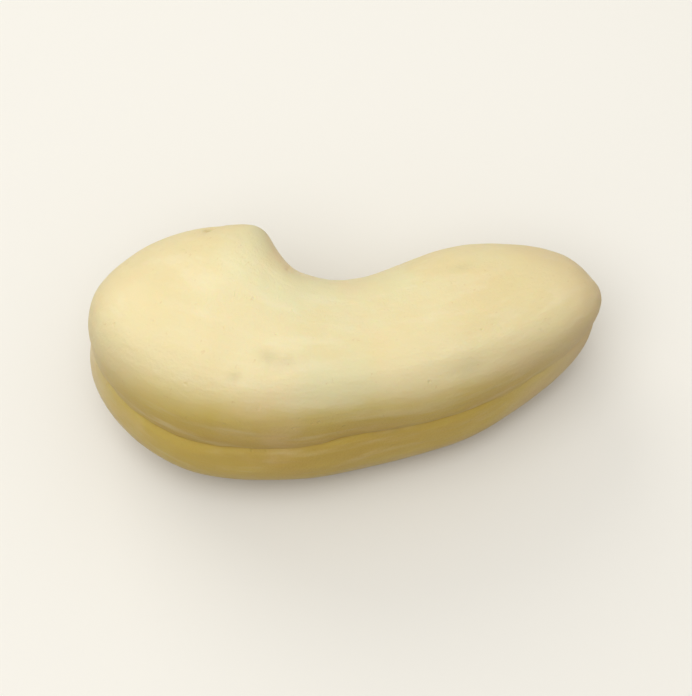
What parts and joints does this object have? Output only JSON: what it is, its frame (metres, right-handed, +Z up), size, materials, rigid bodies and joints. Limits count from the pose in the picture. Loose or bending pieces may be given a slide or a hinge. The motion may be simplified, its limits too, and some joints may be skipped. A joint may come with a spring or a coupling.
{
  "type": "peeled cashew nut kernel",
  "caption": "Peeled cashew kernel: an ivory crescent with a big round lobe, a notch, a tapering arm and a fine seam round its edge, lying on one cheek.",
  "frame": {"origin": "on the surface that the kernel lies on, under the middle of its bounding box", "axes": "+X from the big lobe to the arm's tip, +Y the way the notch opens, +Z up through the two cheeks"},
  "size_m": [0.028, 0.0132, 0.0115],
  "materials": {
    "kernel_meat": "ivory nut meat, matte with a faint waxy sheen"
  },
  "bodies": {
    "root": {"kernel": "kernel_meat"}
  },
  "joints": []
}
